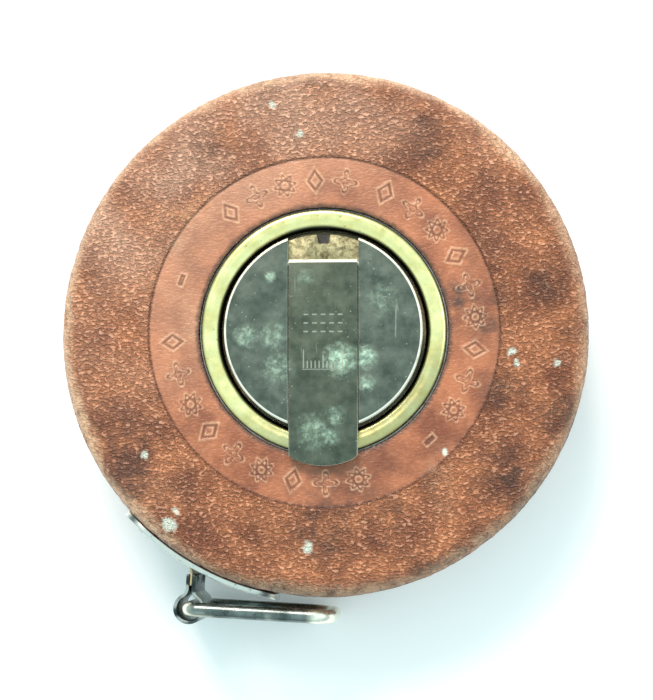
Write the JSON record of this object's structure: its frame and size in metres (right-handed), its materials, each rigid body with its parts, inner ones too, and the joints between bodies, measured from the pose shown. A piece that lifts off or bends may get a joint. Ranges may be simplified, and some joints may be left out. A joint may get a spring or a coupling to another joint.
{
  "type": "surveyor tape reel",
  "caption": "Pocket surveyor's tape in a round leather-covered case with a brass hub ring, flush folding crank and wire pull ring.",
  "frame": {"origin": "on the reel's axis, on the flat back leather face the reel lies on", "axes": "+Z along the reel's axis out of the crank side, -Y the way the folded crank arm points, the tape leaves the rim on the -X -Y side"},
  "size_m": [0.09, 0.0946, 0.0259],
  "materials": {
    "leather": "worn pebble-grained, dark stains",
    "brass": "polished, slightly dulled",
    "hub_patina": "dark patina with green verdigris",
    "plate_nickel": "worn nickel plate",
    "dark_steel": "darkened steel sheet",
    "ring_steel": "darkened wire, bright where it rubs",
    "spring_steel": "dull spring steel",
    "shell_steel": "pressed tin-plated steel",
    "inner_steel": "turned steel",
    "tape_cloth": "varnished woven linen tape"
  },
  "bodies": {
    "case": {"front_leather": "leather", "back_leather": "leather", "rim_leather": "leather", "front_shell": "shell_steel", "back_shell": "shell_steel", "hub_bezel": "brass", "bezel_clinch_ring": "shell_steel", "axle_stud": "inner_steel", "axle_washer": "brass", "axle_screw": "inner_steel", "thrust_washer": "inner_steel", "mouth_plate": "plate_nickel", "mouth_liner": "shell_steel", "mouth_rivets": "plate_nickel"},
    "reel": {"hub_disc": "hub_patina", "crank_spring": "spring_steel", "spring_rivet": "brass", "crank_pin": "inner_steel", "drum_core": "shell_steel", "tape_anchor_pin": "inner_steel", "drum_bush": "brass", "drum_plate": "shell_steel", "drum_screws": "inner_steel", "tape_coil": "tape_cloth"},
    "crank": {"crank_arm": "hub_patina", "knob_stud": "inner_steel"},
    "knob": {"crank_knob": "brass"},
    "tape": {"tape_leader": "tape_cloth"},
    "clasp": {"end_clasp": "dark_steel", "clasp_rivets": "dark_steel", "tape_tip": "tape_cloth"},
    "ring": {"pull_ring": "ring_steel"}
  },
  "joints": [
    {"name": "reel_spin", "type": "hinge", "parent": "case", "child": "reel", "pos_m": [0, 0, 0.012], "axis": [0, 0, 1], "continuous": true},
    {"name": "crank_fold", "type": "hinge", "parent": "reel", "child": "crank", "pos_m": [0, 0.01135, 0.02515], "axis": [-1, 0, 0], "range_deg": [0, 180]},
    {"name": "knob_spin", "type": "hinge", "parent": "crank", "child": "knob", "pos_m": [0, -0.008, 0.022], "axis": [0, 0, 1], "continuous": true},
    {"name": "tape_pull", "type": "slide", "parent": "case", "child": "tape", "axis": [0.3883, -0.9215, 0], "range_m": [0, 0.018]},
    {"name": "clasp_bend", "type": "hinge", "parent": "tape", "child": "clasp", "pos_m": [-0.0227, -0.04012, 0.012], "axis": [0, 0, 1], "range_deg": [0, 28.2]},
    {"name": "ring_swing", "type": "hinge", "parent": "clasp", "child": "ring", "pos_m": [-0.0232, -0.04691, 0.012], "axis": [0, 0, 1], "range_deg": [-220, 3]}
  ],
  "couplings": [
    {"joint": "clasp_bend", "follows": "tape_pull", "rad_per_m": 26.228}
  ]
}
